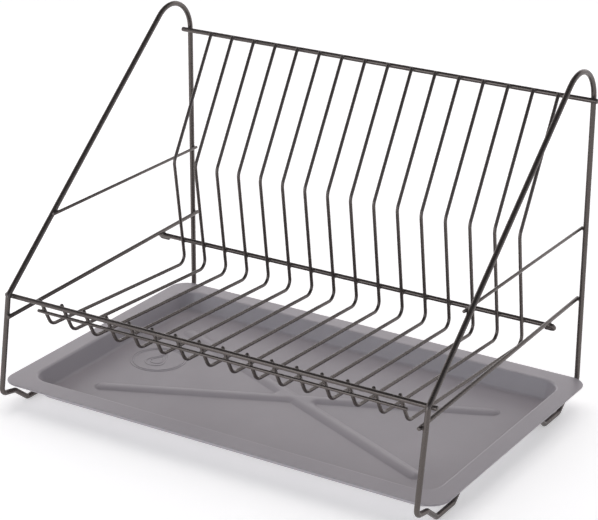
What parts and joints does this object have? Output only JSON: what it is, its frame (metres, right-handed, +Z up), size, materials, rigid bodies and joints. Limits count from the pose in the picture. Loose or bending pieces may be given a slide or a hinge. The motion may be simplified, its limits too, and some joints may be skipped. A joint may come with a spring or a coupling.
{
  "type": "dish drying rack",
  "caption": "Welded wire dish rack with sloping side frames, a row of bent plate wires between cross rails, and a lift-out drip tray with crossed ribs.",
  "frame": {"origin": "on the worktop, under the middle of the rack", "axes": "+X along the rack to its right end as seen from the front, +Y to the back where the plates lean, +Z up"},
  "size_m": [0.511, 0.347, 0.3628],
  "materials": {
    "wire": "dark anthracite metallic lacquer, satin",
    "tray": "fine satin grey"
  },
  "bodies": {
    "rack": {"side_frame_left": "wire", "side_frame_right": "wire", "top_rail": "wire", "front_rail": "wire", "front_lower_rail": "wire", "rear_lower_rail": "wire", "side_lower_rail_left": "wire", "side_lower_rail_right": "wire", "side_upper_rail_left": "wire", "side_upper_rail_right": "wire", "plate_wire_01": "wire", "plate_wire_02": "wire", "plate_wire_03": "wire", "plate_wire_04": "wire", "plate_wire_05": "wire", "plate_wire_06": "wire", "plate_wire_07": "wire", "plate_wire_08": "wire", "plate_wire_09": "wire", "plate_wire_10": "wire", "plate_wire_11": "wire", "plate_wire_12": "wire", "plate_wire_13": "wire", "plate_wire_14": "wire", "plate_wire_15": "wire", "plate_wire_16": "wire"},
    "tray": {"drip_tray": "tray"}
  },
  "joints": [
    {"name": "tray_lift", "type": "slide", "parent": "rack", "child": "tray", "axis": [0, 0, 1], "range_m": [0, 0.049]}
  ]
}
